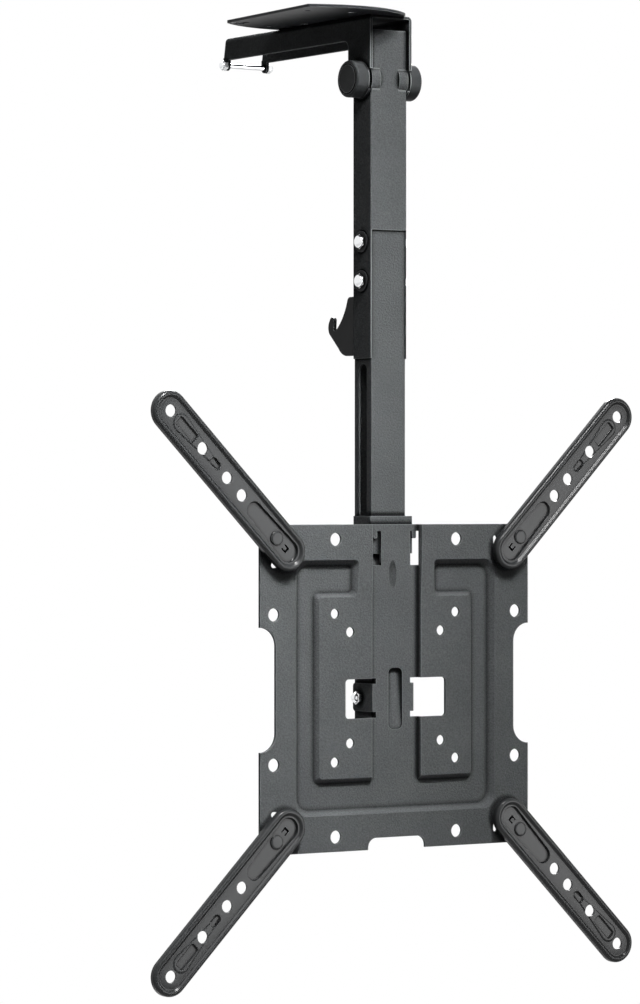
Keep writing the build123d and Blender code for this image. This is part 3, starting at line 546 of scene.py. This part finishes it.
# %% Heights of the pressed strip
def inside(distance, wall):
    """0 outside an outline and 1 inside it, smooth over a wall; the distance is negative inside."""
    step = min(1.0, max(0.0, -distance / wall))
    return step * step * (3 - 2 * step)


def pad_distance(x, y, start, start_radius, end, end_radius):
    """Distance to a pad with two round ends of different width that lies along X."""
    length = end - start
    lean = (start_radius - end_radius) / length
    across = math.sqrt(1 - lean * lean)
    along = (x - start) * across - abs(y) * lean
    if along < 0:
        return math.hypot(x - start, y) - start_radius
    if along > across * length:
        return math.hypot(x - end, y) - end_radius
    return abs(y) * across + (x - start) * lean - start_radius


def box_distance(x, y, centre, length, width, corner):
    """Distance to a rectangle with round corners that lies along X."""
    over_x = abs(x - centre) - length / 2 + corner
    over_y = abs(y) - width / 2 + corner
    return math.hypot(max(over_x, 0), max(over_y, 0)) + min(max(over_x, over_y), 0) - corner


def floor_height(x, y):
    """Height of the channel's floor at a point of the arm."""
    from_axis = math.hypot(max(x - ARM_REACH, -ARM_TAIL - x, 0), y)
    height = FLOOR_TOP + FLOOR_CROWN * (1 - (from_axis / FLOOR_HALF_WIDTH) ** 2)
    height += SHIELD_RISE * inside(pad_distance(x, y, *SHIELD), SHIELD_WALL)
    height -= PAD_DEPTH * inside(pad_distance(x, y, *PAD), PRESSED_WALL)
    for boss in (BOX, OVAL):
        height -= BOSS_DEPTH * inside(box_distance(x, y, *boss), PRESSED_WALL)
    return height


print("floor at the pad:", round(floor_height(0, 0) / MM, 2), "mm")

# %% [markdown]
# One ring is the track of a stadium: two straight runs and two half circles. Every ring has the
# same number of points, so that neighbours can be joined point by point.

# %% One ring
RUN_POINTS = 300
TURN_POINTS = 36


def track(offset):
    """Points of one ring: along one side, round the end, back and round the tail."""
    points = []
    for k in range(RUN_POINTS):
        points.append((-ARM_TAIL + (ARM_REACH + ARM_TAIL) * k / RUN_POINTS, -offset))
    for k in range(TURN_POINTS):
        turn = math.pi * k / TURN_POINTS - math.pi / 2
        points.append((ARM_REACH + offset * math.cos(turn), offset * math.sin(turn)))
    for k in range(RUN_POINTS):
        points.append((ARM_REACH - (ARM_REACH + ARM_TAIL) * k / RUN_POINTS, offset))
    for k in range(TURN_POINTS):
        turn = math.pi * k / TURN_POINTS + math.pi / 2
        points.append((-ARM_TAIL + offset * math.cos(turn), offset * math.sin(turn)))
    return points


print("points in a ring:", len(track(ARM_HALF_WIDTH)))

# %% [markdown]
# From the floor's edge the rings climb to the crest in a smooth slope and roll over it in a
# quarter of an ellipse, which gives the rim its round highlight. The back of the sheet repeats
# the front one sheet thickness lower, and the last ring of each closes the rim.

# %% Rings of the strip
FLOOR_RINGS = 26
SLOPE_RINGS = 8
ROUND_RINGS = 10


def rim_rings(sheet):
    """Offsets and heights of the rings from the floor's edge over the crest to the lower edge."""
    rings = []
    for k in range(1, SLOPE_RINGS + 1):
        step = k / SLOPE_RINGS
        rise = (1 - math.cos(math.pi * step)) / 2
        offset = FLOOR_HALF_WIDTH + (CREST_AT - FLOOR_HALF_WIDTH) * step
        rings.append((offset, FLOOR_TOP + (CREST_TOP - FLOOR_TOP) * rise - sheet))
    for k in range(1, ROUND_RINGS + 1):
        turn = math.pi / 2 * k / ROUND_RINGS
        offset = CREST_AT + (ARM_HALF_WIDTH - sheet - CREST_AT) * math.sin(turn)
        rings.append((offset, CREST_TOP - sheet - (RIM_DROP - sheet) * (1 - math.cos(turn))))
    rings.append((ARM_HALF_WIDTH - sheet, 0.0))
    return rings


def skin_rings(shape, sheet):
    """Rings of one skin of the sheet, from the centre line to the rim's lower edge."""
    rings = []
    for k in range(FLOOR_RINGS + 1):
        offset = FLOOR_HALF_WIDTH * k / FLOOR_RINGS
        rings.append([shape.verts.new((x, y, floor_height(x, y) - sheet)) for x, y in track(offset)])
    for offset, height in rim_rings(sheet):
        rings.append([shape.verts.new((x, y, height)) for x, y in track(offset)])
    return rings


print("rings in a skin:", FLOOR_RINGS + 1 + len(rim_rings(0.0)))

# %% [markdown]
# Joining the rings. The front rings run outwards and the back rings inwards, so one chain of
# bands closes the whole sheet. The innermost ring has no width, so its two sides are merged, and
# only then are the faces turned to point outwards.


# %% Flat arm
def flat_arm_mesh():
    """Closed sheet of an arm that lies along +X with its back at height 0."""
    mesh = bpy.data.meshes.new("flat_arm")
    shape = bmesh.new()
    rings = skin_rings(shape, 0.0) + skin_rings(shape, ARM_SHEET)[::-1]
    for inner, outer in zip(rings, rings[1:]):
        for k in range(len(inner)):
            after = (k + 1) % len(inner)
            shape.faces.new((inner[k], outer[k], outer[after], inner[after]))
    bmesh.ops.remove_doubles(shape, verts=shape.verts, dist=0.001 * MM)
    bmesh.ops.recalc_face_normals(shape, faces=shape.faces)
    shape.to_mesh(mesh)
    shape.free()
    return mesh


flat_arm = bpy.data.objects.new("flat_arm", flat_arm_mesh())
bpy.context.scene.collection.objects.link(flat_arm)
print("flat arm:", len(flat_arm.data.polygons), "faces")

# %% [markdown]
# The punch is one mesh with every hole's prism in it: four round ones and the U-shaped cut that
# frees the little tongue behind the rivet.

# %% The punch
HOLE_PLACES = [place * MM for place in (118.5, 83.9, 56.7, 40.3)]
HOLE_RADIUS = 4.1 * MM
HOLE_SIDES = 40
TONGUE_OUTER = -12.1 * MM
TONGUE_TIP = -10.6 * MM
TONGUE_ROOT = -7.6 * MM
TONGUE_HALF = 1.2 * MM
TONGUE_CUT_HALF = 2.2 * MM
PUNCH_BOTTOM = -3.0 * MM
PUNCH_TOP = 8.0 * MM


def round_outline(centre):
    """Outline of a round hole at a place on the arm's centre line."""
    turns = [2 * math.pi * k / HOLE_SIDES for k in range(HOLE_SIDES)]
    return [(centre + HOLE_RADIUS * math.cos(turn), HOLE_RADIUS * math.sin(turn)) for turn in turns]


def add_prism(shape, outline):
    """Prism over an outline given anticlockwise, from the punch's bottom to its top."""
    low = [shape.verts.new((x, y, PUNCH_BOTTOM)) for x, y in outline]
    high = [shape.verts.new((x, y, PUNCH_TOP)) for x, y in outline]
    shape.faces.new(low[::-1])
    shape.faces.new(high)
    for k in range(len(outline)):
        after = (k + 1) % len(outline)
        shape.faces.new((low[k], low[after], high[after], high[k]))


punch_shape = bmesh.new()
for place in HOLE_PLACES:
    add_prism(punch_shape, round_outline(place))
tongue_cut = [
    (TONGUE_OUTER, -TONGUE_CUT_HALF), (TONGUE_ROOT, -TONGUE_CUT_HALF), (TONGUE_ROOT, -TONGUE_HALF),
    (TONGUE_TIP, -TONGUE_HALF), (TONGUE_TIP, TONGUE_HALF), (TONGUE_ROOT, TONGUE_HALF),
    (TONGUE_ROOT, TONGUE_CUT_HALF), (TONGUE_OUTER, TONGUE_CUT_HALF),
]
add_prism(punch_shape, tongue_cut)
punch_mesh = bpy.data.meshes.new("punch")
punch_shape.to_mesh(punch_mesh)
punch_shape.free()
punch = bpy.data.objects.new("punch", punch_mesh)
bpy.context.scene.collection.objects.link(punch)
print("punch:", len(punch_mesh.polygons), "faces")

# %% [markdown]
# One Boolean takes the punch out of the strip. Its exact solver keeps the cuts clean in so dense a
# mesh, and reading the evaluated mesh makes them part of the shape.

# %% Punch the holes
holes = flat_arm.modifiers.new("holes", "BOOLEAN")
holes.operation = "DIFFERENCE"
holes.solver = "EXACT"
holes.object = punch
bpy.context.view_layer.update()
punched = bpy.data.meshes.new_from_object(flat_arm.evaluated_get(bpy.context.evaluated_depsgraph_get()))
bpy.data.objects.remove(flat_arm)
bpy.data.objects.remove(punch)
print("punched arm:", len(punched.polygons), "faces")

# %% [markdown]
# The four arms are the same pressing, turned about their rivets. Each takes the place of its
# solid and rides on the same body, so it swings as that does.

# %% Place the arms
SHARP_BEND = math.radians(35)
swings = {joint["child"]: Vector(joint["pos_m"]) for joint in frame["joints"] if "swing" in joint["name"]}
head_centre = sum(swings.values(), Vector()) / len(swings)
for body, pivot in swings.items():
    away = (pivot - head_centre).normalized()
    forward = Vector((0, -1, 0))
    side = forward.cross(away)
    back = Vector((pivot.x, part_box(body)[0][1] + CREST_TOP, pivot.z))
    turn = Matrix((away, side, forward)).transposed().to_4x4()
    arm_mesh = punched.copy()
    arm_mesh.transform(Matrix.Translation(back) @ turn)
    arm_mesh.materials.clear()
    arm_mesh.materials.append(arm_coat)
    arm_mesh.shade_smooth()
    arm_mesh.set_sharp_from_angle(angle=SHARP_BEND)
    arm = bpy.data.objects.new("pressed_" + body, arm_mesh)
    bpy.context.scene.collection.objects.link(arm)
    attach(arm, body)
    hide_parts(body)
print("arms placed:", sorted(swings))

# %% [markdown]
# ## Rivets and cap nuts
# Small round parts come in sets, so Geometry Nodes trees make them: a tree builds one and puts a
# copy on every point of a small cloud, turned to the way that the point faces. The sizes are the
# tree's inputs, so one recipe serves every size of nut.


# %% Helpers for geometry trees
def new_tree(name, sizes):
    """Geometry tree with a geometry input and output and one length input for each size."""
    tree = bpy.data.node_groups.new(name, "GeometryNodeTree")
    tree.interface.new_socket("Geometry", in_out="INPUT", socket_type="NodeSocketGeometry")
    tree.interface.new_socket("Geometry", in_out="OUTPUT", socket_type="NodeSocketGeometry")
    for label, value in sizes.items():
        socket = tree.interface.new_socket(label, in_out="INPUT", socket_type="NodeSocketFloat")
        socket.subtype = "DISTANCE"
        socket.default_value = value
    print("tree:", name, "with", len(sizes), "sizes")
    return tree, tree.nodes.new("NodeGroupInput").outputs, tree.nodes.new("NodeGroupOutput").inputs


def add_node(tree, kind, inputs, **settings):
    """Node of a kind with its settings made and its inputs linked or set, by name or number."""
    node = tree.nodes.new(kind)
    for name, value in settings.items():
        setattr(node, name, value)
    for name, value in inputs.items():
        if isinstance(value, bpy.types.NodeSocket):
            tree.links.new(value, node.inputs[name])
        else:
            node.inputs[name].default_value = value
    return node


# %% [markdown]
# Four nodes are used over and over, so each has a short helper: a sum, a vector, a move along
# the part's own axis and a ball.

# %% Short ways to common nodes
ROUND_PARTS = 48


def add_math(tree, operation, *values):
    """Result of a math node whose inputs are sockets or numbers."""
    return add_node(tree, "ShaderNodeMath", dict(enumerate(values)), operation=operation).outputs[0]


def add_vector(tree, x, y, z):
    """Vector put together from sockets or numbers."""
    return add_node(tree, "ShaderNodeCombineXYZ", {0: x, 1: y, 2: z}).outputs[0]


def add_shift(tree, geometry, height, size=(1, 1, 1)):
    """Geometry that is scaled and then moved up its own axis."""
    return add_node(
        tree, "GeometryNodeTransform",
        {"Geometry": geometry, "Translation": add_vector(tree, 0, 0, height), "Scale": size},
    ).outputs[0]


def add_ball(tree):
    """Ball of radius 1, fine enough for a polished dome."""
    sizes = {"Segments": ROUND_PARTS, "Rings": ROUND_PARTS, "Radius": 1.0}
    return add_node(tree, "GeometryNodeMeshUVSphere", sizes).outputs["Mesh"]


# %% [markdown]
# Every tree ends in the same way: its parts are joined, put on each point and turned so that
# their own axis lies along the point's facing. Then they are made real, and painted.


# %% The end of a tree
def finish_tree(tree, tree_in, tree_out, parts, finish):
    """Ends a tree: the parts on every point, turned to its facing, made real and painted."""
    whole = add_node(tree, "GeometryNodeJoinGeometry", {})
    for part in parts:
        tree.links.new(part, whole.inputs[0])
    facing = add_node(tree, "GeometryNodeInputNamedAttribute", {"Name": "facing"}, data_type="FLOAT_VECTOR")
    turned = add_node(tree, "FunctionNodeAlignRotationToVector", {"Vector": facing.outputs[0]}, axis="Z")
    copies = add_node(
        tree, "GeometryNodeInstanceOnPoints",
        {"Points": tree_in["Geometry"], "Instance": whole.outputs[0], "Rotation": turned.outputs[0]},
    )
    real = add_node(tree, "GeometryNodeRealizeInstances", {0: copies.outputs[0]})
    painted = add_node(tree, "GeometryNodeSetMaterial", {"Geometry": real.outputs[0], "Material": finish})
    tree.links.new(painted.outputs[0], tree_out[0])


# %% [markdown]
# A tree grows on a small cloud of points that carry their facing. The grown mesh becomes a plain
# object, and the cloud goes away again.


# %% Growing a tree on points
def grow_on_points(name, tree, places, sizes):
    """Mesh object that a tree grows on (place, facing) pairs, with sizes set by identifier."""
    points = bpy.data.meshes.new(name + "_points")
    points.from_pydata([place for place, facing in places], [], [])
    facings = points.attributes.new("facing", "FLOAT_VECTOR", "POINT")
    for item, (place, facing) in zip(facings.data, places):
        item.vector = facing
    seed = bpy.data.objects.new(name + "_seed", points)
    bpy.context.scene.collection.objects.link(seed)
    grower = seed.modifiers.new(name, "NODES")
    grower.node_group = tree
    for socket in tree.interface.items_tree:
        if socket.in_out == "INPUT" and socket.name in sizes:
            grower[socket.identifier] = sizes[socket.name]
    bpy.context.view_layer.update()
    grown = bpy.data.meshes.new_from_object(seed.evaluated_get(bpy.context.evaluated_depsgraph_get()))
    bpy.data.objects.remove(seed)
    grown.shade_smooth()
    grown.set_sharp_from_angle(angle=SHARP_BEND)
    piece = bpy.data.objects.new(name, grown)
    bpy.context.scene.collection.objects.link(piece)
    print(name, "on", len(places), "points:", len(grown.polygons), "faces")
    return piece


# %% [markdown]
# **Rivet.** Its head is a flat button with a soft rim. A bevelled cylinder would show its flat top
# as a disc in a ring, so a ball is pushed outwards until it is nearly square in section.

# %% Button of a rivet
BUTTON_SQUARENESS = 5.0


def add_button(tree, radius, height, foot):
    """Flat button with a soft rim: a ball pushed towards a squarer outline."""
    place = add_node(tree, "GeometryNodeInputPosition", {}).outputs[0]
    x, y, z = add_node(tree, "ShaderNodeSeparateXYZ", {0: place}).outputs
    flat = add_math(tree, "SQRT", add_math(tree, "MULTIPLY_ADD", x, x, add_math(tree, "MULTIPLY", y, y)))
    wide = add_math(tree, "POWER", flat, BUTTON_SQUARENESS)
    tall = add_math(tree, "POWER", add_math(tree, "ABSOLUTE", z), BUTTON_SQUARENESS)
    push = add_math(tree, "POWER", add_math(tree, "ADD", wide, tall), -1.0 / BUTTON_SQUARENESS)
    pushed = add_node(tree, "ShaderNodeVectorMath", {0: place, "Scale": push}, operation="SCALE").outputs[0]
    button = add_node(
        tree, "GeometryNodeSetPosition", {"Geometry": add_ball(tree), "Position": pushed}
    ).outputs[0]
    return add_shift(tree, button, foot, add_vector(tree, radius, radius, height))


# %% [markdown]
# Behind the arm a shoulder keeps the rivet off the plate, and behind the plate its tail is
# pressed into a second, smaller button.

# %% Rivet tree
RIVET_SIZES = {
    "Head Radius": 4.9 * MM, "Head Height": 1.5 * MM, "Head Foot": 1.6 * MM,
    "Shoulder Radius": 6.0 * MM, "Shoulder Height": 2.5 * MM,
    "Tail Radius": 5.0 * MM, "Tail Height": 1.3 * MM, "Tail Foot": -4.6 * MM,
}


rivet_tree, rivet_in, rivet_out = new_tree("rivet", RIVET_SIZES)
head = add_button(rivet_tree, rivet_in["Head Radius"], rivet_in["Head Height"], rivet_in["Head Foot"])
tail = add_button(rivet_tree, rivet_in["Tail Radius"], rivet_in["Tail Height"], rivet_in["Tail Foot"])
shoulder = add_node(
    rivet_tree, "GeometryNodeMeshCylinder",
    {"Vertices": ROUND_PARTS, "Radius": rivet_in["Shoulder Radius"], "Depth": rivet_in["Shoulder Height"]},
).outputs["Mesh"]
half_way_back = add_math(rivet_tree, "MULTIPLY", rivet_in["Shoulder Height"], -0.5)
shoulder = add_shift(rivet_tree, shoulder, half_way_back)
finish_tree(rivet_tree, rivet_in, rivet_out, (head, tail, shoulder), arm_coat)

# %% [markdown]
# The rivets stand on the swing joints of the frame, with height 0 at the back of the arms. They
# belong to the plate, so they stay in place while the arms turn round them.

# %% Grow the rivets
FORWARD = (0, -1, 0)

rivet_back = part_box("upper_left_arm")[0][1] + CREST_TOP
rivet_seats = [((pivot.x, rivet_back, pivot.z), FORWARD) for pivot in swings.values()]
rivets = grow_on_points("round_rivets", rivet_tree, rivet_seats, RIVET_SIZES)
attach(rivets, "screen_head")
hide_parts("rivets")

# %% [markdown]
# **Cap nut.** A hexagon whose outer corners are turned off by a cone, as on every turned nut, and
# a low dome. The cone cut is what gives each flat its curved top, the mark of a real nut.

# %% Nut tree
CUT_ANGLE = math.radians(30)
CUT_START = 0.47
NUT_SIZES = {
    "clamp_nuts": {"Flats": 8.8 * MM, "Height": 1.5 * MM, "Dome Radius": 4.4 * MM, "Dome Height": 2.6 * MM},
    "rod_nuts": {"Flats": 6.6 * MM, "Height": 3.0 * MM, "Dome Radius": 2.9 * MM, "Dome Height": 2.4 * MM},
    "ear_nut": {"Flats": 8.0 * MM, "Height": 3.4 * MM, "Dome Radius": 3.4 * MM, "Dome Height": 2.8 * MM},
}

nut_tree, nut_in, nut_out = new_tree("cap_nut", NUT_SIZES["clamp_nuts"])
hexagon = {
    "Vertices": 6, "Depth": nut_in["Height"],
    "Radius": add_math(nut_tree, "DIVIDE", nut_in["Flats"], math.sqrt(3)),
}
block = add_node(nut_tree, "GeometryNodeMeshCylinder", hexagon).outputs["Mesh"]
cut_top = add_math(nut_tree, "MULTIPLY", nut_in["Flats"], CUT_START)
cut = {
    "Vertices": ROUND_PARTS, "Depth": nut_in["Height"], "Radius Top": cut_top,
    "Radius Bottom": add_math(nut_tree, "MULTIPLY_ADD", nut_in["Height"], 1 / math.tan(CUT_ANGLE), cut_top),
}
cone = add_node(nut_tree, "GeometryNodeMeshCone", cut).outputs["Mesh"]
middle = add_math(nut_tree, "MULTIPLY", nut_in["Height"], 0.5)
turned_block = add_node(
    nut_tree, "GeometryNodeMeshBoolean", {"Mesh 2": add_shift(nut_tree, block, middle)},
    operation="INTERSECT", solver="EXACT",
)
nut_tree.links.new(cone, turned_block.inputs["Mesh 2"])
dome_size = add_vector(nut_tree, nut_in["Dome Radius"], nut_in["Dome Radius"], nut_in["Dome Height"])
dome = add_shift(nut_tree, add_ball(nut_tree), nut_in["Height"], dome_size)
finish_tree(nut_tree, nut_in, nut_out, (turned_block.outputs["Mesh"], dome), zinc)

# %% [markdown]
# The seats are measured from the solids whose place the nuts take: two on the left of the upper
# tube, one at each end of the cross rod, and one on the left ear of the screen plate.

# %% Grow the nuts
LEFT, RIGHT = (-1, 0, 0), (1, 0, 0)


def box_of(name):
    """Low corner, high corner and middle of a solid's box."""
    low, high = (Vector(corner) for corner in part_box(name))
    return low, high, (low + high) / 2


clamp_low, clamp_high, clamp_middle = box_of("clamp_nuts")
corner_reach = NUT_SIZES["clamp_nuts"]["Flats"] / math.sqrt(3)
clamp_seats = [
    ((clamp_high.x, clamp_middle.y, z), LEFT)
    for z in (clamp_low.z + corner_reach, clamp_high.z - corner_reach)
]
rod_low, rod_high, rod_middle = box_of("rod_nuts")
nut_depth = NUT_SIZES["rod_nuts"]["Height"] + NUT_SIZES["rod_nuts"]["Dome Height"]
rod_seats = [
    ((rod_low.x + nut_depth, rod_middle.y, rod_middle.z), LEFT),
    ((rod_high.x - nut_depth, rod_middle.y, rod_middle.z), RIGHT),
]
ear_high, ear_middle = box_of("ear_nut")[1:]
ear_seats = [((ear_high.x, ear_middle.y, ear_middle.z), LEFT)]

for node_name, body, seats in (
    ("clamp_nuts", "folding_tube", clamp_seats),
    ("rod_nuts", "ceiling_bracket", rod_seats),
    ("ear_nut", "screen_head", ear_seats),
):
    nuts = grow_on_points("turned_" + node_name, nut_tree, seats, NUT_SIZES[node_name])
    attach(nuts, body)
    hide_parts(node_name)
